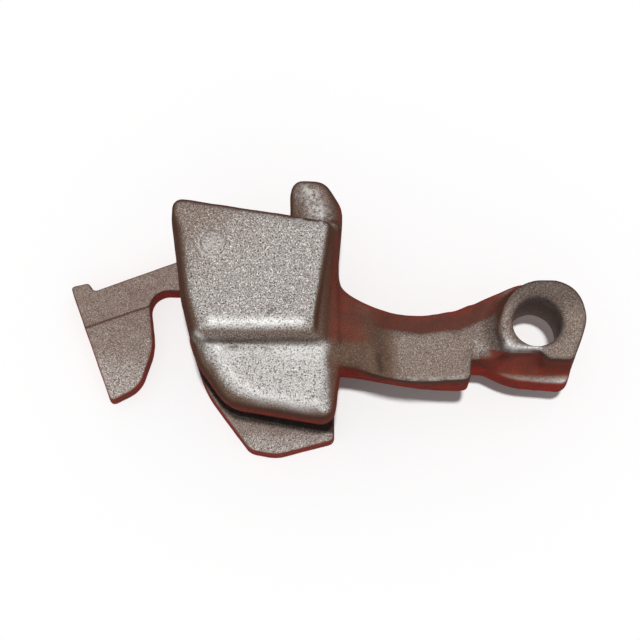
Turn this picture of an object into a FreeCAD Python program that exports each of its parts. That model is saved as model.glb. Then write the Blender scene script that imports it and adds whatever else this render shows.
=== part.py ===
import FreeCAD, Part
import math
import os

import Sketcher

os.makedirs("parts", exist_ok=True)
doc = FreeCAD.newDocument("CouplerLockPair")
Vector = FreeCAD.Vector

# Two loose steel castings from inside a knuckle coupler: the lock lies on the knuckle thrower.
# The origin is under the middle of the thrower's crest, on the flat face that the thrower lies on.
# +X runs along the lock's leg to its lift eye, +Y to the lock's thumb and +Z up.

# Heights, thicknesses, diameters and drafts, in mm and degrees.
SIZES = {
    # knuckle thrower
    "plate_thick": 16,
    "arm_rise": 3,
    "trunnion_x": 33,
    "trunnion_y": -13,
    "trunnion_dia": 32,
    "trunnion_rise": 9,
    "trunnion_bevel": 1.5,
    "plate_draft": 3,
    # lock block, from its flat underside upwards
    "block_under": 36,
    "block_over": 40,
    "block_draft": 4,
    "under_draft": 10,
    "step_drop": 16,
    "step_line": -44.5,
    "step_corner": 11,
    "panel_edge": 7,
    "ledge_edge": 8,
    "disc_x": -33.4,
    "disc_y": 27.5,
    "disc_dia": 20,
    "disc_rise": 0.6,
    # thumb beside the block
    "thumb_under": 20,
    "thumb_over": 20,
    "thumb_crown": 8,
    # leg, measured from the level where the mould parts
    "leg_over": 20,
    "leg_side": 5,
    "leg_under": 18,
    "leg_round": 3,
    "leg_base_round": 1,
    # lift eye
    "eye_under": 36,
    "eye_draft": 2.2,
    "flange_thick": 29,
    "flange_edge": 4,
    "shoulder_thick": 51,
    "collar_rise": 7,
    "collar_edge": 2,
    "bore_reach": 48.3,
    "bore_y": -25.9,
    "bore_dia": 36,
    "bore_mouth": 2.2,
}

# Corners of the outlines seen from above: across, up and the radius of the corner.
CORNERS = {
    # knuckle thrower: lug, arm, crest over the trunnion, heel, notch and toe
    "lug_left": (-148, 18, 3),
    "lug_right": (-132.5, 22, 3),
    "lug_foot": (-129.5, 15, 3),
    "crest_left": (-55, 42.5, 40),
    "crest_top": (14, 53, 34),
    "crest_right": (48, 14, 30),
    "heel_back": (55, -50, 30),
    "heel_right": (55, -101.4, 5),
    "heel_low": (11, -113, 28),
    "heel_left": (-9, -109, 12),
    "heel_flank": (-42.2, -64.2, 70),
    "heel_shoulder": (-57, -21, 8),
    "notch_right": (-46, 13.6, 10),
    "notch_left": (-86.8, 13.6, 13),
    "toe_right": (-82, -29, 40),
    "toe_round": (-92.3, -60.5, 24),
    "toe_tip": (-114.8, -72.3, 4),
    # the thinner field of the toe and heel, which reaches past their edges
    "toe_step_left": (-170, -26.8, 1),
    "toe_step_right": (-76, 6.3, 1),
    "heel_step_left": (-62, -36, 1),
    "heel_step_right": (75, -36, 1),
    "field_south_east": (75, -135, 1),
    "field_south_west": (-170, -135, 1),
    # lock block where the mould parts
    "block_north_west": (-68.5, 67.4, 10),
    "block_west_knee": (-58.7, -8, 30),
    "block_south_knee": (-46.7, -54, 45),
    "block_south_west": (-24, -86.5, 28),
    "block_south_east": (54.5, -100, 10.5),
    "block_east_knee": (60, -52, 40),
    "block_north_east": (57.5, 47.2, 11),
    "panel_south_east": (50, -44.5, 11),
    # thumb
    "thumb_root_left": (22, 25, 12),
    "spine_root": (28, -30, 12),
    "spine_low": (63, -32, 12),
    "spine_waist": (57, 10, 40),
    "thumb_left": (21.5, 84.8, 9),
    "thumb_top": (48.2, 83.6, 15),
    "thumb_right": (61.7, 64.5, 14),
    # root of the lift eye, inside the leg, measured from the leg's end and the bore's axis
    "shoulder_start": (-4, -28.6, 6),
    "eye_start": (-4, 15.9, 8),
    # lift eye, measured from the bore's axis: flange, shoulder and collar
    "flange_root_west": (-38.3, -12.1, 6),
    "flange_notch": (-45.3, -24.1, 5),
    "flange_south": (-19.3, -38.6, 60),
    "flange_south_east": (25.2, -42.1, 8),
    "flange_root_east": (29.7, -17.1, 8),
        "shoulder_south_east": (27.2, -31.6, 8),
    "eye_east": (38.7, 0.9, 22),
    "eye_north_east": (33.7, 33.9, 28),
    "eye_north": (-12.3, 33.4, 30),
        "collar_west": (-32.3, -6.1, 24),
    "collar_south_west": (-24.3, -26.1, 13),
    "collar_south": (3.2, -25.9, 4),
    "collar_jog": (5.7, -30.1, 4),
    "collar_north_west": (-26.3, 13.9, 20),
}

# Leg stations: run from the station before, how far the top lies below its highest level, then the places
# across the leg of the north wall's foot, the bevel's outer and inner edge, the south edge and its foot.
STATIONS = {
    "root": (40, 4, 26, 30, 5, -63, -63),
    "neck": (36, 4, -9.4, -6.7, -28.5, -62, -62),
    "low": (38, 2, -20.3, -17.1, -35.5, -70.4, -68.2),
    "rise": (24, 2, -17.5, -13.8, -32.5, -69, -70.6),
    "foot": (16, 2, -11, -6.8, -26, -69, -71.4),
}
PLACES = ("run", "drop", "foot", "outer", "inner", "south", "under")

sheet = doc.addObject("Spreadsheet::Sheet", "Sizes")
rows = dict(SIZES)
for corner, (across, up, radius) in CORNERS.items():
    rows[corner + "_x"] = across
    rows[corner + "_y"] = up
    rows[corner + "_round"] = radius
for station, places in STATIONS.items():
    for place, value in zip(PLACES, places):
        rows["leg_%s_%s" % (station, place)] = value
for row, (alias, value) in enumerate(rows.items(), start=1):
    sheet.set("A%d" % row, alias.replace("_", " "))
    sheet.set("B%d" % row, str(value))
    sheet.setAlias("B%d" % row, alias)
doc.recompute()

# Levels worked out from the sizes.
REST = "(Sizes.plate_thick + Sizes.arm_rise + Sizes.trunnion_rise)"
PARTING = "(" + REST + " + Sizes.block_under)"
PANEL = "(" + PARTING + " + Sizes.block_over)"
EYE = "(" + PARTING + " - Sizes.eye_under)"

# The leg's end, and the bore's axis beyond it.
LEG_END = " + ".join("Sizes.leg_%s_run" % station for station in STATIONS)
BORE_X = LEG_END + " + Sizes.bore_reach"


def value_of(words):
    """The number that an expression on the sheet gives."""
    answer = sheet.evalExpression(words)
    return float(answer.Value) if hasattr(answer, "Value") else float(answer)


def origin_plane(body, role):
    return [part for part in body.Origin.OriginFeatures if part.Role == role][0]


def new_body(label):
    body = doc.addObject("PartDesign::Body", label)
    body.Label = label
    return body


def new_sketch(body, name, level, role="XY_Plane"):
    """An empty sketch parallel to one of the body's planes, at a level from the sheet."""
    sketch = body.newObject("Sketcher::SketchObject", name)
    sketch.AttachmentSupport = [(origin_plane(body, role), "")]
    sketch.MapMode = "FlatFace"
    sketch.setExpression(".AttachmentOffset.Base.z", level)
    return sketch


def bind(sketch, constraint, words):
    """Add a size to a sketch and tie it to the sheet."""
    index = sketch.addConstraint(constraint)
    sketch.setExpression("Constraints[%d]" % index, words)


def draw_outline(sketch, corners):
    """Lines between named corners, given as (across, up, radius) expressions, with an arc at each."""
    points = [Vector(value_of(a), value_of(b), 0) for a, b, radius in corners]
    radii = [value_of(radius) for a, b, radius in corners]
    count = len(points)
    starts, ends, arcs = [], [], []
    for i in range(count):
        corner = points[i]
        before = (points[i - 1] - corner).normalize()
        after = (points[(i + 1) % count] - corner).normalize()
        half = before.getAngle(after) / 2
        reach = radii[i] / math.tan(half)
        first = corner + before * reach
        second = corner + after * reach
        middle = corner + (before + after).normalize() * (radii[i] / math.sin(half))
        left_turn = before.cross(after).z < 0
        begin, finish = (first, second) if left_turn else (second, first)
        turn = [math.atan2(p.y - middle.y, p.x - middle.x) for p in (begin, finish)]
        circle = Part.Circle(middle, Vector(0, 0, 1), radii[i])
        arcs.append((Part.ArcOfCircle(circle, turn[0], turn[1]), left_turn))
        ends.append(first)
        starts.append(second)
    for i in range(count):
        sketch.addGeometry(arcs[i][0])
        sketch.addGeometry(Part.LineSegment(starts[i], ends[(i + 1) % count]))
    for i in range(count):
        sketch.addGeometry(Part.Point(points[i]), True)
    for i in range(count):
        arc, line, line_before, mark = 2 * i, 2 * i + 1, 2 * ((i - 1) % count) + 1, 2 * count + i
        enter, leave = (1, 2) if arcs[i][1] else (2, 1)
        sketch.addConstraint(Sketcher.Constraint("Tangent", line_before, 2, arc, enter))
        sketch.addConstraint(Sketcher.Constraint("Tangent", arc, leave, line, 1))
        sketch.addConstraint(Sketcher.Constraint("PointOnObject", mark, 1, line_before))
        sketch.addConstraint(Sketcher.Constraint("PointOnObject", mark, 1, line))
        bind(sketch, Sketcher.Constraint("DistanceX", -1, 1, mark, 1, points[i].x), corners[i][0])
        bind(sketch, Sketcher.Constraint("DistanceY", -1, 1, mark, 1, points[i].y), corners[i][1])
        bind(sketch, Sketcher.Constraint("Radius", arc, radii[i]), corners[i][2])


def named_corners(names, start=("0", "0")):
    """Expressions for named corners, measured from a starting point."""
    across, up = (place + " + Sizes.%s" for place in start)
    return [(across % n + "_x", up % n + "_y", "Sizes.%s_round" % n) for n in names]


def pad_outline(body, name, corners, level, length, draft=None, down=False):
    """Extrude an outline up or down from a level, drafted inwards."""
    sketch = new_sketch(body, name + "_outline", level)
    draw_outline(sketch, corners)
    return pad(body, name, sketch, length, draft, down)


def pad(body, name, sketch, length, draft=None, down=False):
    feature = body.newObject("PartDesign::Pad", name)
    feature.Profile = sketch
    feature.Reversed = down
    feature.setExpression("Length", length)
    if draft:
        feature.setExpression("TaperAngle", "-" + draft)
    doc.recompute()
    return feature


def pocket(body, name, sketch, depth):
    """Cut a sketch down into the body, or right through it where no depth is given."""
    feature = body.newObject("PartDesign::Pocket", name)
    feature.Profile = sketch
    if depth:
        feature.setExpression("Length", depth)
    else:
        feature.Type = "ThroughAll"
        feature.Midplane = True
    doc.recompute()
    return feature


def draw_circle(sketch, across, up, diameter):
    centre = Vector(value_of(across), value_of(up), 0)
    sketch.addGeometry(Part.Circle(centre, Vector(0, 0, 1), value_of(diameter) / 2))
    bind(sketch, Sketcher.Constraint("DistanceX", -1, 1, 0, 3, centre.x), across)
    bind(sketch, Sketcher.Constraint("DistanceY", -1, 1, 0, 3, centre.y), up)
    bind(sketch, Sketcher.Constraint("Diameter", 0, value_of(diameter)), diameter)


def round_edges(body, name, radius, wanted, kind="PartDesign::Fillet"):
    """Round or bevel the edges of the body's last feature that a rule picks."""
    base = body.Tip
    edges = ["Edge%d" % (i + 1) for i, edge in enumerate(base.Shape.Edges) if wanted(edge)]
    feature = body.newObject(kind, name)
    feature.Base = (base, edges)
    feature.setExpression("Radius" if kind.endswith("Fillet") else "Size", radius)
    doc.recompute()
    return feature


def at_level(level, across=(-1e6, 1e6), up=(-1e6, 1e6)):
    """A rule: edges that lie flat at a level, with their middle in a window."""
    height = value_of(level)

    def wanted(edge):
        box = edge.BoundBox
        middle = box.Center
        flat = abs(box.ZMin - height) < 0.01 and abs(box.ZMax - height) < 0.01
        return flat and across[0] < middle.x < across[1] and up[0] < middle.y < up[1]

    return wanted


def full_circle(level, radius):
    """A rule: the full circle of a radius that lies flat at a level."""
    at_height = at_level(level)

    def wanted(edge):
        closed = at_height(edge) and edge.isClosed()
        return closed and abs(edge.Length - 2 * math.pi * radius) < 0.01

    return wanted


def make_thrower():
    """Flat casting: toe, arm, crest with the trunnion, and heel."""
    body = new_body("knuckle_thrower")
    arm = ["lug_left", "lug_right", "lug_foot", "crest_left", "crest_top", "crest_right"]
    heel = ["heel_back", "heel_right", "heel_low", "heel_left", "heel_flank", "heel_shoulder"]
    notch = ["notch_right", "notch_left"]
    toe = ["toe_right", "toe_round", "toe_tip"]
    draft = "Sizes.plate_draft"
    arm_thick = "Sizes.plate_thick + Sizes.arm_rise"
    pad_outline(body, "plate", named_corners(arm + heel + notch + toe), "0", arm_thick, draft)
    field = ["toe_step_left", "toe_step_right", "heel_step_left", "heel_step_right"]
    field += ["field_south_east", "field_south_west"]
    sketch = new_sketch(body, "field_outline", arm_thick)
    draw_outline(sketch, named_corners(field))
    pocket(body, "thin_field", sketch, "Sizes.arm_rise")
    sketch = new_sketch(body, "trunnion_circle", arm_thick)
    draw_circle(sketch, "Sizes.trunnion_x", "Sizes.trunnion_y", "Sizes.trunnion_dia")
    pad(body, "trunnion", sketch, "Sizes.trunnion_rise")
    bevel = at_level(REST)
    round_edges(body, "trunnion_bevel", "Sizes.trunnion_bevel", bevel, "PartDesign::Chamfer")
    return body


def make_block():
    """The lock's body: a drafted block with a lower ledge and a raised panel."""
    body = new_body("lock_block")
    north_west = ["block_north_west", "block_west_knee"]
    south = ["block_south_knee", "block_south_west", "block_south_east", "block_east_knee"]
    draft = "Sizes.block_draft"
    ledge = "Sizes.block_over - Sizes.step_drop"
    whole = named_corners(north_west + south + ["block_north_east"])
    pad_outline(body, "ledge", whole, PARTING, ledge, draft)
    round_edges(body, "ledge_edge", "Sizes.ledge_edge", at_level(PARTING + " + " + ledge))
    west = "Sizes.block_west_knee_x + (Sizes.block_south_knee_x - Sizes.block_west_knee_x)"
    west += " * (Sizes.step_line - Sizes.block_west_knee_y)"
    west += " / (Sizes.block_south_knee_y - Sizes.block_west_knee_y)"
    corners = named_corners(north_west)
    corners.append((west, "Sizes.step_line", "Sizes.step_corner"))
    corners += named_corners(["panel_south_east", "block_north_east"])
    sketch = new_sketch(body, "panel_outline", PARTING)
    draw_outline(sketch, corners)
    pad(body, "panel", sketch, "Sizes.block_over", draft)
    round_edges(body, "panel_edge", "Sizes.panel_edge", at_level(PANEL))
    pad_outline(body, "block_under", whole, PARTING, "Sizes.block_under", "Sizes.under_draft", down=True)
    sketch = new_sketch(body, "disc_circle", PANEL)
    draw_circle(sketch, "Sizes.disc_x", "Sizes.disc_y", "Sizes.disc_dia")
    pad(body, "disc", sketch, "Sizes.disc_rise")
    return body


def make_thumb():
    """The round-topped lug at the block's north-east corner, with the spine that runs to the leg."""
    body = new_body("lock_thumb")
    spine = ["spine_root", "spine_low", "spine_waist"]
    thumb = ["thumb_right", "thumb_top", "thumb_left", "thumb_root_left"]
    outline = named_corners(spine + thumb)
    draft = "Sizes.block_draft"
    pad_outline(body, "thumb_over", outline, PARTING, "Sizes.thumb_over", draft)
    crown = at_level(PARTING + " + Sizes.thumb_over")
    round_edges(body, "thumb_crown", "Sizes.thumb_crown", crown)
    pad_outline(body, "thumb_under", outline, PARTING, "Sizes.thumb_under", draft, down=True)
    return body


def make_leg():
    """The leg, lofted through its stations from the block to the foot beside the eye."""
    body = new_body("lock_leg")
    sections = []
    along = "0"
    for station in STATIONS:
        size = "Sizes.leg_" + station
        along += " + " + size + "_run"
        base = PARTING + " - Sizes.leg_under"
        side = PARTING + " + Sizes.leg_side"
        top = PARTING + " + Sizes.leg_over - " + size + "_drop"
        places = [("_foot", base, "_base"), ("_outer", side, ""), ("_inner", top, "")]
        places += [("_south", top, ""), ("_under", base, "_base")]
        sketch = new_sketch(body, "leg_" + station, along, "YZ_Plane")
        corners = [(size + place, level, "Sizes.leg%s_round" % end) for place, level, end in places]
        draw_outline(sketch, corners)
        sections.append(sketch)
    loft = body.newObject("PartDesign::AdditiveLoft", "leg")
    loft.Profile = sections[0]
    loft.Sections = sections[1:]
    loft.Ruled = False
    doc.recompute()
    return body


def make_eye():
    """The lift eye: a flange below, a shoulder and a raised collar round the bore."""
    body = new_body("lock_eye")
    flange = ["flange_root_west", "flange_notch", "flange_south", "flange_south_east"]
    flange += ["flange_root_east"]
    east = ["shoulder_south_east", "eye_east", "eye_north_east", "eye_north"]
    collar = ["collar_west", "collar_south_west", "collar_south", "collar_jog"]
    collar += east + ["collar_north_west"]
    draft = "Sizes.eye_draft"
    collar_thick = "Sizes.shoulder_thick + Sizes.collar_rise"
    axis = (BORE_X, "Sizes.bore_y")
    root = named_corners(["eye_start", "shoulder_start"], (LEG_END, "Sizes.bore_y"))
    shoulder = root + named_corners(east, axis)
    pad_outline(body, "flange", named_corners(flange, axis), EYE, "Sizes.flange_thick", draft)
    round_edges(body, "flange_edge", "Sizes.flange_edge", at_level(EYE + " + Sizes.flange_thick"))
    pad_outline(body, "shoulder", shoulder, EYE, "Sizes.shoulder_thick", draft)
    pad_outline(body, "collar", named_corners(collar, axis), EYE, collar_thick, draft)
    round_edges(body, "collar_edge", "Sizes.collar_edge", at_level(EYE + " + " + collar_thick))
    sketch = new_sketch(body, "bore_circle", EYE)
    draw_circle(sketch, BORE_X, "Sizes.bore_y", "Sizes.bore_dia")
    pocket(body, "bore", sketch, None)
    rim = full_circle(EYE + " + " + collar_thick, value_of("Sizes.bore_dia") / 2)
    round_edges(body, "bore_mouth", "Sizes.bore_mouth", rim, "PartDesign::Chamfer")
    return body


thrower = make_thrower()
lock = doc.addObject("Part::MultiFuse", "lock")
lock.Label = "lock"
lock.Shapes = [make_block(), make_thumb(), make_leg(), make_eye()]
lock.Refine = True
doc.recompute()

failed = [thing.Name for thing in doc.Objects if {"Invalid", "Error"} & set(thing.State)]
if failed:
    raise SystemExit("features that failed: " + ", ".join(failed))
for piece in (thrower, lock):
    if piece.Shape.isNull() or not piece.Shape.isValid() or len(piece.Shape.Solids) != 1:
        raise SystemExit("not one good solid: " + piece.Label)
    piece.Shape.exportStep("parts/%s.step" % piece.Label)
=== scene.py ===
import bmesh
import bpy
import numpy as np
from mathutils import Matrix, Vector


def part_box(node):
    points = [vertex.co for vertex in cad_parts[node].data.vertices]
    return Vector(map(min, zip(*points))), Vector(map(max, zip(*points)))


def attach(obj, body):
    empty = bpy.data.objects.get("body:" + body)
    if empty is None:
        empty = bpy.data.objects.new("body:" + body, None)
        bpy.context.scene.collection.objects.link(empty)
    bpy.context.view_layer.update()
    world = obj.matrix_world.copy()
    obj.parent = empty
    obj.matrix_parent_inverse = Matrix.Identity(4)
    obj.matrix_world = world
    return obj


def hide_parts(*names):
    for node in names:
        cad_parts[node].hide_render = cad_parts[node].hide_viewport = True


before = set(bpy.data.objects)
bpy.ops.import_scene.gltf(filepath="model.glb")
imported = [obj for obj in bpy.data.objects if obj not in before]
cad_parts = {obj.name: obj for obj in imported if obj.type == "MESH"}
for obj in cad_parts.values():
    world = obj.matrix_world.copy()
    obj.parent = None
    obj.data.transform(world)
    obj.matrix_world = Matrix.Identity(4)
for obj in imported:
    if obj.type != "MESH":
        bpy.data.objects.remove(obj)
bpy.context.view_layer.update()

MM = 0.001


# Camera: it looks down on the parts from the side of the leg's foot, as in the photograph.
camera_data = bpy.data.cameras.new("camera")
camera_data.lens = 106.4
camera_data.sensor_width = 36.0
camera_data.clip_end = 20.0
camera = bpy.data.objects.new("camera", camera_data)
camera.location = (0.0440, -0.3576, 1.4184)
camera.rotation_euler = (np.radians(14.0), 0.0, 0.0)
bpy.context.collection.objects.link(camera)
bpy.context.scene.camera = camera
bpy.context.scene.view_settings.view_transform = "Standard"


# Shapes, worked out with numpy in millimetres.

def ramp(value, low, high):
    """0 below low, 1 above high and a smooth S between them: t squared times (3 - 2t)."""
    t = np.clip((value - low) / (high - low), 0.0, 1.0)
    return t * t * (3.0 - 2.0 * t)


def cloud(points, length, seed):
    """Smooth noise from -1 to 1: random values on a cubic lattice of that spacing, blended between
    the eight lattice points round each point with the S of ramp along every axis."""
    lattice = np.random.default_rng(seed).uniform(-1.0, 1.0, (32, 32, 32))
    place = points / length + 400.0
    cell = np.floor(place).astype(int)
    t = place - cell
    t = t * t * (3.0 - 2.0 * t)
    total = np.zeros(len(points))
    for corner in range(8):
        step = np.array([corner & 1, corner >> 1 & 1, corner >> 2])
        share = np.prod(np.where(step, t, 1.0 - t), axis=1)
        a, b, c = ((cell + step) % 32).T
        total += share * lattice[a, b, c]
    return total


def line_gap(points, line):
    """Distance in the XY plane from each point to the nearest of a line's straight runs."""
    line = np.asarray(line, float)
    gap = np.full(len(points), 1e9)
    for start, end in zip(line[:-1], line[1:]):
        run = end - start
        t = np.clip((points[:, :2] - start) @ run / (run @ run), 0.0, 1.0)
        gap = np.minimum(gap, np.linalg.norm(points[:, :2] - start - t[:, None] * run, axis=1))
    return gap


def near(points, line, width):
    """1 on a line in the XY plane, falling to 0 as a bell of that half width."""
    return np.exp(-(line_gap(points, line) / width) ** 2)


def relax(points, edges, steps, share):
    """Move each point towards the mean of its neighbours, by a share that may differ from point to
    point and from axis to axis. Repeated, it rounds outer corners and fills inner ones."""
    a, b = edges.T
    count = len(points)
    neighbours = np.bincount(edges.ravel(), minlength=count)[:, None]
    for _ in range(steps):
        total = np.column_stack([
            np.bincount(a, points[b, k], count) + np.bincount(b, points[a, k], count) for k in range(3)])
        points = points + share * (total / neighbours - points)
    return points


def spread(values, edges, steps):
    """Blur a value over the surface: each step takes the mean with the neighbours' mean."""
    a, b = edges.T
    count = len(values)
    neighbours = np.bincount(edges.ravel(), minlength=count)
    for _ in range(steps):
        total = np.bincount(a, values[b], count) + np.bincount(b, values[a], count)
        values = 0.5 * values + 0.5 * total / neighbours
    return values


def vertex_normals(points, faces):
    """Unit normals at the points: the sum of the cross products of the diagonals of the quads round it."""
    quad = points[faces]
    cross = np.cross(quad[:, 2] - quad[:, 0], quad[:, 3] - quad[:, 1])
    total = np.column_stack([
        sum(np.bincount(faces[:, j], cross[:, k], len(points)) for j in range(4)) for k in range(3)])
    return total / np.maximum(np.linalg.norm(total, axis=1), 1e-12)[:, None]


def rim_gap(points, net, level, keep):
    """Distance in the XY plane from each point to the outline of a net at a level. The outline is the
    places where the net's edges cross the level, kept where a rule on x and y says so."""
    corners, edges = net
    start, end = corners[edges[:, 0]], corners[edges[:, 1]]
    crossing = (start[:, 2] - level) * (end[:, 2] - level) < 0
    start, end = start[crossing], end[crossing]
    t = ((level - start[:, 2]) / (end[:, 2] - start[:, 2]))[:, None]
    rim = (start + t * (end - start))[:, :2]
    rim = rim[keep(rim[:, 0], rim[:, 1])]
    gap = np.empty(len(points))
    for first in range(0, len(points), 4000):
        part = points[first:first + 4000, None, :2] - rim[None]
        gap[first:first + 4000] = np.sqrt((part ** 2).sum(axis=2).min(axis=1))
    return gap


def rolled(level, gap, width, depth):
    """Height of a face that rolls over towards its rim as a quarter of an ellipse: the level, less the
    depth times one minus the root of one minus t squared. t goes from 0 at the width to 1 at the rim."""
    t = np.clip(1.0 - gap / width, 0.0, 1.0)
    return level - depth * (1.0 - np.sqrt(1.0 - t * t))


def merged(node):
    """A copy of a CAD node's mesh with its loose triangles joined."""
    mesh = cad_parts[node].data.copy()
    merge = bmesh.new()
    merge.from_mesh(mesh)
    bmesh.ops.remove_doubles(merge, verts=merge.verts, dist=0.01 * MM)
    merge.to_mesh(mesh)
    merge.free()
    return mesh


def mesh_of(name, points, faces):
    """A mesh in metres from points in millimetres and faces."""
    mesh = bpy.data.meshes.new(name)
    mesh.from_pydata((points * MM).tolist(), [], faces.tolist())
    return mesh


def even_net(mesh, cell):
    """The same solid as an even net of quads of that cell size: its points, faces and edges, in
    millimetres."""
    source = bpy.data.objects.new("source", mesh)
    bpy.context.collection.objects.link(source)
    cells = source.modifiers.new("cells", "REMESH")
    cells.mode = "VOXEL"
    cells.voxel_size = cell * MM
    net = source.evaluated_get(bpy.context.evaluated_depsgraph_get()).to_mesh()
    points = np.empty(len(net.vertices) * 3)
    net.vertices.foreach_get("co", points)
    faces = np.empty(len(net.polygons) * 4, int)
    net.polygons.foreach_get("vertices", faces)
    edges = np.empty(len(net.edges) * 2, int)
    net.edges.foreach_get("vertices", edges)
    bpy.data.objects.remove(source)
    return points.reshape(-1, 3) / MM, faces.reshape(-1, 4), edges.reshape(-1, 2)


def cut(height, region, surface):
    """The heights, lowered to a surface where they stand above it inside a region."""
    return np.where(region, np.minimum(height, surface), height)


def from_axis(x, y, axis):
    """Distance in the XY plane from an upright axis."""
    return np.hypot(x - axis[0], y - axis[1])


def most(*parts):
    """The largest of the parts at each point."""
    return np.maximum.reduce(parts)


def in_box(points, node):
    """The points, held inside the box of their CAD node."""
    lowest, highest = np.array(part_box(node)) / MM
    return np.clip(points, lowest, highest)


def show(name, points, faces, fields, node, body, material):
    """Show a finished casting in place of its CAD node. Its fields are shares from 0 to 1 at its points,
    for the material."""
    mesh = mesh_of(name, points, faces)
    for field, values in fields.items():
        mesh.attributes.new(field, "FLOAT", "POINT").data.foreach_set("value", values.astype(np.float32))
    mesh.polygons.foreach_set("use_smooth", np.ones(len(faces), bool))
    mesh.materials.append(material)
    piece = bpy.data.objects.new(name, mesh)
    bpy.context.collection.objects.link(piece)
    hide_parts(node)
    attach(piece, body)


# Materials.

def linear(code):
    """An sRGB hex colour as linear red, green, blue and alpha."""
    parts = np.array([int(code[i:i + 2], 16) for i in (1, 3, 5)]) / 255.0
    low = parts / 12.92
    high = ((parts + 0.055) / 1.055) ** 2.4
    return (*np.where(parts <= 0.04045, low, high), 1.0)


def add(tree, kind, links, **settings):
    """Add a shader node. The settings are its properties. The links are its inputs: a number, a colour,
    a socket, or a node, which gives its first enabled output."""
    node = tree.nodes.new("ShaderNode" + kind)
    for key, value in settings.items():
        setattr(node, key, value)
    for key, value in links.items():
        if isinstance(value, bpy.types.Node):
            value = next(socket for socket in value.outputs if socket.enabled)
        if isinstance(value, bpy.types.NodeSocket):
            tree.links.new(value, node.inputs[key])
        else:
            node.inputs[key].default_value = value
    return node


# Shares at the points: metal that the shot bared, with some places lightened; wall, the film on walls that
# is painted shade; rust red in that film, partly a painted red reflection; soot and painted shade; grain
# with painted glints; and crest, a painted highlight with some rubbed wear.
FIELDS = ("bared_and_lit", "wall", "low", "dirt_and_shade", "shine", "crest")
RUBBED_AND_HIGHLIGHT, GLINT = "#f0efed", "#e6e3df"
SMOOTH = {"interpolation_type": "SMOOTHSTEP"}
COLOUR = {"data_type": "RGBA"}
TIMES = {"operation": "MULTIPLY"}
LARGER = {"operation": "MAXIMUM"}


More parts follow.
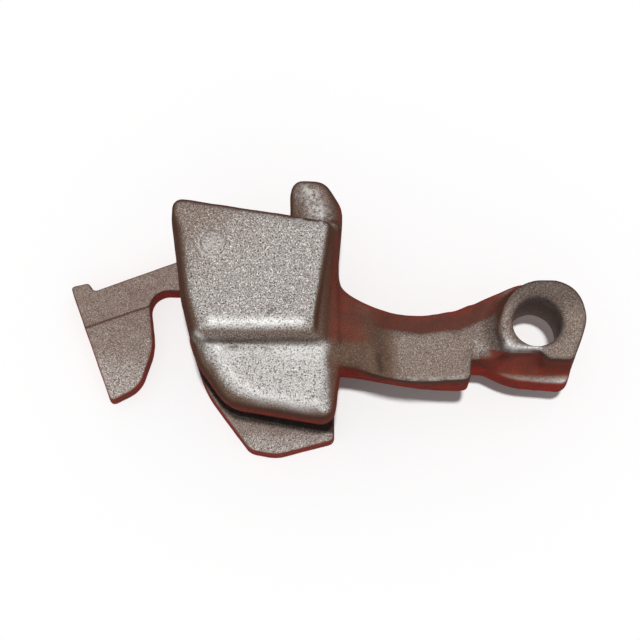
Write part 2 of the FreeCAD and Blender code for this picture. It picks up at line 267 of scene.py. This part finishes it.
def cast_steel(name, skin, bare, film_and_shade, rust_and_reflected_red, soot_and_shade, metal):
    """Shot-blasted cast steel. Bare grey metal shows through a brown skin on the faces that the shot
    reached, with painted glints on its grains and painted highlights on its crests. The walls keep a dull
    film that is painted shade, brown above and rust red below, the red partly a painted reflection. Five
    colours are given, and how metallic the blasted faces are."""
    material = bpy.data.materials.new(name)
    material.use_nodes = True
    tree = material.node_tree
    tree.nodes.clear()
    skin, bare, film_and_shade, rust_and_reflected_red, soot_and_shade = map(linear, (skin, bare, film_and_shade, rust_and_reflected_red, soot_and_shade))
    place = add(tree, "TexCoord", {}).outputs["Object"]
    bared_and_lit, wall, low, dirt_and_shade, shine, crest = (
        add(tree, "Attribute", {}, attribute_name=field).outputs["Fac"] for field in FIELDS)
    # Pits of 1.3 mm and grit of 0.9 mm, a little coarser than the shot leaves, so that they show.
    # Patches of 12 mm, as the skin comes off in.
    pits, grit, patches = (
        add(tree, "TexNoise", {
            "Vector": place, "Scale": 1 / (size * MM), "Detail": detail, "Roughness": roughness})
        for size, detail, roughness in ((1.3, 3.0, 0.7), (0.9, 2.0, 0.8), (12, 5.0, 0.65)))
    # The skin shades from brown to its dark film in patches, and the shot has bared its high spots.
    share = add(tree, "MapRange", {0: patches, 1: 0.3, 2: 0.7, 3: 0.0, 4: 0.45}, **SMOOTH)
    ground = add(tree, "Mix", {0: share, 6: skin, 7: film_and_shade}, **COLOUR)
    share = add(tree, "MapRange", {0: pits, 1: 0.34, 2: 0.66, 3: 0.25, 4: 1.35}, **SMOOTH)
    share = add(tree, "Math", {0: bared_and_lit, 1: share}, **TIMES)
    ground = add(tree, "Mix", {0: share, 6: ground, 7: bare}, **COLOUR)
    # Painted highlights on the crests, with some rubbed wear, are almost white; pits are dark; and painted
    # glints sit on single grains.
    share = add(tree, "MapRange", {0: pits, 1: 0.3, 2: 0.6, 3: 0.48, 4: 1.0}, **SMOOTH)
    share = add(tree, "Math", {0: crest, 1: share}, **TIMES)
    ground = add(tree, "Mix", {0: share, 6: ground, 7: linear(RUBBED_AND_HIGHLIGHT)}, **COLOUR)
    share = add(tree, "MapRange", {0: pits, 1: 0.48, 2: 0.35, 3: 0.0, 4: 0.8}, **SMOOTH)
    share = add(tree, "Math", {0: share, 1: shine}, **TIMES)
    ground = add(tree, "Mix", {0: share, 6: ground, 7: soot_and_shade}, **COLOUR)
    share = add(tree, "MapRange", {0: grit, 1: 0.54, 2: 0.65, 3: 0.0, 4: 1.0}, **SMOOTH)
    share = add(tree, "Math", {0: share, 1: shine}, **TIMES)
    ground = add(tree, "Mix", {0: share, 6: ground, 7: linear(GLINT)}, **COLOUR)
    # The film on the walls, painted shade, turns from brown to rust red in patches, the red partly a
    # painted reflection; its pits are dark, and then soot and painted shade are laid on.
    share = add(tree, "MapRange", {0: patches, 1: 0.35, 2: 0.65, 3: 1.0, 4: 0.52}, **SMOOTH)
    share = add(tree, "Math", {0: share, 1: low}, **TIMES)
    dull = add(tree, "Mix", {0: share, 6: film_and_shade, 7: rust_and_reflected_red}, **COLOUR)
    share = add(tree, "MapRange", {0: pits, 1: 0.45, 2: 0.65, 3: 0.0, 4: 0.35}, **SMOOTH)
    dull = add(tree, "Mix", {0: share, 6: dull, 7: soot_and_shade}, **COLOUR)
    ground = add(tree, "Mix", {0: wall, 6: ground, 7: dull}, **COLOUR)
    ground = add(tree, "Mix", {0: dirt_and_shade, 6: ground, 7: soot_and_shade}, **COLOUR)
    matt = add(tree, "Math", {0: wall, 1: dirt_and_shade}, **LARGER)
    rough = add(tree, "MapRange", {0: pits, 1: 0.3, 2: 0.7, 3: 0.62, 4: 0.48}, **SMOOTH)
    rough = add(tree, "Mix", {0: matt, 2: rough, 3: 0.85})
    height = add(tree, "Math", {0: grit, 1: 0.5, 2: pits}, operation="MULTIPLY_ADD")
    bump = add(tree, "Bump", {"Height": height, "Distance": 0.5 * MM, "Strength": 1.0})
    share = add(tree, "Mix", {0: matt, 2: metal, 3: 0.0})
    surface = add(tree, "BsdfPrincipled", {
        "Base Color": ground, "Metallic": share, "Roughness": rough, "Normal": bump,
        "Specular IOR Level": 0.05})
    add(tree, "OutputMaterial", {"Surface": surface})
    return material


# Rust red, partly a painted red reflection on the walls; the soot colour also paints shade.
RUST_AND_REFLECTED_RED, SOOT_AND_SHADE = "#b5372a", "#241a17"
lock_steel = cast_steel("shot_blasted_cast_steel", "#6f5848", "#9a9693", "#573a2f", RUST_AND_REFLECTED_RED, SOOT_AND_SHADE, 0.4)
thrower_steel = cast_steel("cast_steel_with_brown_skin", "#78645a", "#a0968f", "#5e4639", RUST_AND_REFLECTED_RED, SOOT_AND_SHADE, 0.3)


def film_and_shade_share(normals, edges):
    """How much of the dark film is laid on, painted shade with some real film: none on a face that looks
    up, all on a wall. A slope that looks away from the leg's foot side gets it sooner. It goes by one less
    the normal's rise, blurred."""
    tilt = 1.0 - normals[:, 2] + 0.25 * normals[:, 1]
    return 0.92 * ramp(spread(tilt, edges, 3), 0.10, 0.50)


# The lock. The cuts and fills work on its height, so they leave its outline from above alone.

PANEL, LOWER_PANEL = 104.3, 88.0
BORE, DISC = (202.3, -25.9), (-33.4, 27.5)
HOLLOW = [(86, -34), (88, -62)]
STEP_END = [(-45.2, -37.6), (-36.2, -44.5)]
VALLEY = [
    (184.6, -1.3), (175.6, -8.8), (169.5, -17.9), (167.2, -25.4),
    (169.2, -35.2), (172.6, -44.1), (178, -50)]
BURR = [(176.6, -37.4), (180.0, -43.3), (184.3, -46.6), (192.2, -47.0), (201.7, -44.8)]
LEDGE = [(170, -61), (186, -65), (207, -66.5), (226, -65)]
COVE_FOOT = (156, 162, 176, 191, 210, 228), (-55.5, -56.5, -60.4, -62.0, -62.6, -62.0)

points, faces, edges = even_net(merged("lock"), 1.2)
net = (points, edges)
x, y, z = points.T

# Raised panel: its rim rolls down to the block's walls, most of all towards the step.
north, east, south = ramp(y, 35, 58), ramp(x, 25, 45) * ramp(y, -25, 35), ramp(y, -15, -35)
width = 12.0 - 7.0 * np.maximum(north, east) + 4.0 * south + 5.0 * south * ramp(x, 25, 45)
gap = rim_gap(points, net, 93.0, lambda a, b: a < 70)
z = cut(z, (x < 62) & (z > 88.8), rolled(PANEL, gap, width, 15.0 - 7.0 * north))
side = 41.0 + 0.15 * (y + 35.0) - x
flank = np.where(side > 0, rolled(PANEL, np.maximum(side, 0.0), 7.0, 7.0), PANEL - 7.0 + 0.9 * side)
z = cut(z, (x > 30) & (x < 62) & (y < 44) & (z > 82), np.maximum(flank, 86.0))

# Lower panel and its cheek beside the leg.
gap = rim_gap(points, net, 78.5, lambda a, b: (a < 63) & (b < -36))
width = 15.0 - 7.0 * ramp(x, 38, 52)
z = cut(z, (x < 63) & (y < -42) & (z > 66), rolled(LOWER_PANEL, gap, width, 0.9 * width))
cheek = LOWER_PANEL - 10.5 * ramp(x, 43.5, 63)
z = cut(z, (x > 43) & (x < 66) & (y < -42) & (z > 72), cheek)

# The thumb's round back, and the slope of the eye's shoulder beyond a crease.
back = 84.2 - 0.035 * np.clip(x - 41.0, 0, 30) ** 2 - 0.03 * np.clip(38.0 - x, 0, 30) ** 2
z = cut(z, (y > 50) & (x > 20) & (z > 66) & (z < 84.5), back)
crease = -33.0 + 0.51 * (x - 146.0)
slope = 80.0 - 0.62 * (y - crease)
z = cut(z, (x > 140) & (x < 200) & (y > crease) & (z > 66) & (z < 83), slope)

# Cove between the ring and the flange: a quarter of an ellipse, steep under the ring.
head = np.interp(x, (156, 162, 171, 178.5, 203, 208), (-54.9, -54.1, -51.9, -47.6, -47.6, -55.0))
foot = np.interp(x, *COVE_FOOT)
t = np.clip((y - foot) / (head - foot), 0.0, 1.0)
cove = 57.0 + 24.0 * (1.0 - np.sqrt(1.0 - t * t))
z = np.where((x > 162) & (x < 229) & (y < head) & (z > 54), cove, z)
points = np.column_stack([x, y, z])

# Every edge loses its sharpness. The ring's flank, the leg's roots, the thumb's corner and the foot's
# corner are rounder still.
points, faces, edges = even_net(mesh_of("shaped_lock", points, faces), 1.2)
points = relax(points, edges, 10, 0.5)
x, y, z = points.T
ring = near(points, [(167, -25), (172, -42), (178, -50)], 7) + near(points, [(148, -22), (152, -14)], 8)
neck = near(points, [(60, 8), (64, -4)], 8) + near(points, [(53, 71), (60, 61)], 7)
neck += near(points, [(152, -69), (154, -71)], 6)
points = relax(points, edges, 50, 0.5 * np.clip(ring + neck, 0, 1)[:, None])

# Inner folds fill in height alone: leg to block, leg to eye, the bore's mouth and the valley.
root = near(points, [(58, 34), (60, -62)], 8) * ramp(y, 52, 34) + near(points, [(66, 0), (80, -26)], 10)
joint = near(points, [(146, -2), (150, -50)], 9)
mouth = np.exp(-((from_axis(x, y, BORE) - 19.5) / 3.5) ** 2) * ramp(y, -44, -34)
fold = 0.5 * np.clip(root + joint + mouth + near(points, VALLEY[1:], 7), 0, 1) * ramp(z, 60, 66)
points = relax(points, edges, 80, fold[:, None] * np.array([0.0, 0.0, 1.0]))

# Fine forms: ridge on the lower panel, hollow in the leg, valley and burr round the ring, the faint
# disc at the panel's corner and the short raised line at the step's end. Then the sand's unevenness.
x, y, z = points.T
top = ramp(vertex_normals(points, faces)[:, 2], 0.5, 0.9)
disc = from_axis(x, y, DISC)
ridge = near(points, [(-30, -57), (0, -56.5), (48, -53.8)], 4.0)
rise = 0.9 * ridge * ramp(z, 80, 86) * ramp(92 - z, 0, 3)
rise -= 1.4 * near(points, HOLLOW, 9.0) * ramp(z, 68, 74)
rise -= 2.4 * near(points, VALLEY, 4.5)
rise += 1.3 * near(points, BURR, 2.2)
rise -= 0.5 * np.exp(-((disc - 10.0) / 1.1) ** 2) * ramp(z, 98, 102)
rise += 0.25 * near(points, STEP_END, 1.3) * ramp(z, 76, 82)
points[:, 2] += rise * top * ramp(z, 60, 70)
uneven = 0.25 * cloud(points, 19, 3) + 0.13 * cloud(points, 7, 4)
points = points + vertex_normals(points, faces) * uneven[:, None]
points = in_box(points, "lock")

# Places that the fields share: the block's top and its brown corner, the strip between the raised
# panel and the leg, the thumb's back, the step, the cove, the leg's bevel, the rim of the foot's pad
# and the bore.
normals = vertex_normals(points, faces)
x, y, z = points.T
up = spread(normals[:, 2], edges, 3)
block = ramp(z, 82, 86) * ramp(x, 62, 50)
brown = ramp(y - 0.9 * x, 10, 100)
beside = ramp(x, 42, 49) * ramp(y, -45, -37) * ramp(z, 101, 97) * ramp(y, 46, 34)
thumb = near(points, [(33, 73), (42, 62), (46, 53)], 9) * ramp(z, 72, 80)
step = near(points, [(-46, -42), (44, -45)], 6.0) * ramp(z, 80, 86)
cove = ramp(y - np.interp(x, *COVE_FOOT), 0.5, 3.0) * (y < -46) * (x > 160)
cove = cove * ramp(z, 80, 77) * ramp(z, 55, 57)
bevel_line = np.interp(x, (70, 98, 117, 146, 166, 188), (-26, -32, -35.5, -31.5, -22.5, -11))
bevel = ramp(y - bevel_line, -1.5, 2.0) * ramp(z, 60, 66) * ramp(x, 66, 90) * ramp(x, 186, 172)
pad_rim = ramp(up, 0.3, 0.6) * ramp(up, 0.99, 0.9) * ramp(x, 96, 106) * ramp(y, -50, -58)
pad_rim = pad_rim * ramp(z, 62, 67) * (x < 150)
bore = ramp(from_axis(x, y, BORE), 22, 19)

# Fine noise that breaks the painted highlight flecks, the thumb's worn patches and the sooty scratches.
flecks = cloud(points, 1.9, 11)
specks = ramp(cloud(points, 2.4, 23), -0.3, 0.3)

# The shot bared the block's top, less so its brown corner, and a little of all that stands out. The step's
# slope is lightened as painted light.
bared_and_lit = most(
    block * (1.0 - 0.7 * brown) * ramp(up, 0.72, 0.93) * (1.0 - beside),
    0.4 * thumb,
    0.28 * ramp(x, 92, 105) * ramp(z, 66, 72),
    0.9 * near(points, BURR, 5.0),
    # the step's slope, lightened as painted light
    0.45 * step,
    0.6 * near(points, [(156, -40), (163, -47), (168, -50)], 5.0) * ramp(z, 66, 72))

# Painted highlights, with some rubbed wear, on crests: the panels' rims, the lower panel's middle, the
# burr, the flange's ledge, the disc, then flecks and thin lines.
rim = [(-31, -47), (-23, -62), (-12, -74), (2, -81), (34, -88), (43, -87)]
crest = most(
    near(points, [(-34, -31), (30, -31)], 3.5) * ramp(z, 92, 98),
    0.8 * near(points, rim, 4.5) * ramp(z, 76, 82),
    0.75 * near(points, [(-26, -53), (42, -50)], 6.5) * ramp(z, 80, 86) * ramp(92 - z, 0, 3),
    0.35 * near(points, [(43, -50), (42, -90)], 3.0) * ramp(z, 80, 86),
    0.3 * ramp(z, 84, 87) * ramp(y, -46, -50) * ramp(up, 0.8, 0.95) * (x < 62),
    near(points, BURR[1:], 2.6) * ramp(z, 72, 77),
    0.6 * near(points, LEDGE, 3.0) * ramp(z, 52, 55) * ramp(z, 62, 59),
    0.6 * np.exp(-((disc - 10.4) / 0.8) ** 2) * ramp(z, 98, 102) * ramp(x + y, 4, -10),
    0.22 * ramp(disc, 10, 8) * ramp(z, 98, 102))
crest = most(
    crest * (0.75 + 0.25 * cloud(points, 9, 8)),
    0.6 * near(points, [(28, 46.5), (46, 43.5)], 1.8) * ramp(flecks, -0.2, 0.3) * ramp(z, 90, 95),
    0.45 * thumb ** 2 * (0.3 + 0.7 * ramp(flecks, -0.1, 0.4)),
    0.6 * near(points, STEP_END, 1.4) * ramp(z, 62, 70))
# The painted highlights also bare the metal, and the rim of the foot's pad gets a painted highlight.
bared_and_lit = np.clip(most(bared_and_lit, crest), 0, 1)
crest = most(crest, 0.3 * pad_rim * ramp(flecks, -0.4, 0.3))
shine = np.clip(0.22 + bared_and_lit - crest, 0, 1) * (1.0 - 0.3 * ramp(x, 62, 80))

# Walls keep their film, painted shade, and so do the cove, the place beside the panel and the leg's bevel.
# Painted highlights on the crests, the step and the pad's rim take film off, and the bore's walls get less
# of it, lightened against their shade.
wall = film_and_shade_share(normals, edges) * (1.0 - 0.8 * crest) * (1.0 - 0.7 * pad_rim) * (1.0 - 0.85 * step)
wall = most(wall, 0.92 * cove, 0.8 * beside * ramp(x, 100, 62), 0.85 * bevel) * (1.0 - 0.8 * bore)
spine = ramp(x, 46, 56) * ramp(x, 90, 70) * ramp(z, 100, 88) * ramp(y, 48, 30)
# Rust red in the film, more of it lower down, partly a painted red reflection.
low = most(ramp(z, 80, 60), 0.3 * spine, 0.25 * bevel)
low = np.where(cove > 0.5, 0.42, low) * (1.0 - 0.6 * bore)

# Soot colour: darker in the hollow, along a line beside it and on the leg's top by the block; soot in
# scratches and in worn patches on the thumb; a dark ring in the disc's groove; painted shade along the
# step's root, in the valley, on the leg's bevel, on the ring's north side and under the block.
dirt_and_shade = most(
    0.35 * near(points, HOLLOW, 9) * ramp(z, 68, 74) * ramp(up, 0.7, 0.95),
    0.6 * near(points, [(86.5, -50), (88, -61)], 4) * ramp(z, 66, 72),
    0.25 * ramp(x, 96, 72) * ramp(x, 55, 60) * ramp(z, 70, 76) * (1 - wall),
    0.25 * np.exp(-((disc - 9.3) / 0.8) ** 2) * ramp(z, 98, 102),
    0.6 * near(points, [(-31.8, -45.3), (2.1, -46.7), (11.5, -48.2)], 1.3) * specks * block,
    0.4 * near(points, [(2.5, -28.4), (9.6, -22.5), (26.8, -9.2)], 2.0) * specks * block,
    # painted shade along the step's root
    0.45 * near(points, [(-40, -42.4), (44, -44.0)], 1.2) * ramp(z, 80, 86),
    # painted shade in the valley
    0.45 * near(points, VALLEY, 5.0) * ramp(z, 66, 72),
    0.4 * thumb * ramp(flecks, -0.1, -0.5),
    # painted shade on the leg's bevel
    0.14 * bevel,
    # painted shade on the ring's north side
    0.35 * ramp(y, -24, -6) * ramp(x, 178, 190) * ramp(z, 80, 84),
    # painted shade under the block
    0.9 * ramp(z, 66, 60) * ramp(x, 62, 56) * ramp(y, 20, -20))
fields = dict(zip(FIELDS, (bared_and_lit, wall, low, dirt_and_shade, shine, crest)))
show("lock_casting", points, faces, fields, "lock", "lock", lock_steel)


# The knuckle thrower. A painted shadow, in soot colour, lies in a band under the lock's lower edge, which
# stands above the line COVERED.

COVERED = (-46, -37.8, -31.6, -24, -16.4, 13.8, 56), (-50, -61.8, -70.3, -76.5, -79.5, -85.3, -93)

points, faces, edges = even_net(merged("knuckle_thrower"), 0.9)
points = relax(points, edges, 5, 0.5)
plate = 1.0 - ramp(points[:, 2], 19.5, 21)
uneven = plate * (0.15 * cloud(points, 15, 5) + 0.09 * cloud(points, 6, 6))
points = in_box(points + vertex_normals(points, faces) * uneven[:, None], "knuckle_thrower")
normals = vertex_normals(points, faces)
x, y, z = points.T
tips = most(ramp(y, -30, -55) * ramp(x, -70, -80), ramp(y, -93, -104))
bared_and_lit = 0.3 - 0.09 * ramp(y, -30, -10) + 0.12 * cloud(points, 7, 9) + 0.5 * tips
shine = np.clip(0.2 + 0.8 * bared_and_lit, 0, 1)
# The walls' dark film is painted shade.
wall = film_and_shade_share(normals, edges)
# Rust red in the low walls' film, partly a painted red reflection.
low = ramp(z, 20, 14)
inside = y - np.interp(x, *COVERED)
# Painted shadow of the lock on the thrower, in a band inside the line COVERED.
dirt_and_shade = 0.75 * ramp(inside, -4.0, -2.2) * ramp(inside, 24, 11) * ramp(x, -56, -46)
fields = dict(zip(FIELDS, (bared_and_lit, wall, low, dirt_and_shade, shine, np.zeros(len(points)))))
show("knuckle_thrower_casting", points, faces, fields,
     "knuckle_thrower", "thrower", thrower_steel)


# Floor, light and background. Camera, glossy and transmission rays see them white.

floor_paint = bpy.data.materials.new("pale_studio_floor")
floor_paint.use_nodes = True
world = bpy.data.worlds.new("studio")
world.use_nodes = True
bpy.context.scene.world = world
for tree in (floor_paint.node_tree, world.node_tree):
    tree.nodes.clear()
    rays = add(tree, "LightPath", {}).outputs
    seen = add(tree, "Math", {0: rays["Is Camera Ray"], 1: rays["Is Glossy Ray"]}, **LARGER)
    seen = add(tree, "Math", {0: seen, 1: rays["Is Transmission Ray"]}, **LARGER)
    if tree == world.node_tree:
        strength = add(tree, "MapRange", {0: seen, 1: 0.0, 2: 1.0, 3: 0.26, 4: 1.0})
        sky = add(tree, "Background", {"Color": (1, 1, 1, 1), "Strength": strength})
        add(tree, "OutputWorld", {"Surface": sky})
    else:
        pale = add(tree, "Mix", {0: seen, 6: linear("#b4b4b4"), 7: (1, 1, 1, 1)}, **COLOUR)
        matt = add(tree, "BsdfDiffuse", {"Color": pale})
        add(tree, "OutputMaterial", {"Surface": matt})

# The floor reaches 6 m each way and lies 0.2 mm under the thrower.
SIDE, DROP = 6.0, -0.2 * MM
mesh = bpy.data.meshes.new("floor")
corners = [(-SIDE, -SIDE, DROP), (SIDE, -SIDE, DROP), (SIDE, SIDE, DROP), (-SIDE, SIDE, DROP)]
mesh.from_pydata(corners, [], [(0, 1, 2, 3)])
mesh.materials.append(floor_paint)
floor = bpy.data.objects.new("floor", mesh)
bpy.context.collection.objects.link(floor)


# One even light from above, as wide as a soft box of 0.15 m at 2.2 m.
light = bpy.data.lights.new("top_light", "SUN")
light.angle = np.radians(4.0)
light.energy = 2.35
lamp = bpy.data.objects.new("top_light", light)
lamp.rotation_euler = Vector((0.04, -0.06, 2.14)).to_track_quat("Z", "Y").to_euler()
bpy.context.collection.objects.link(lamp)
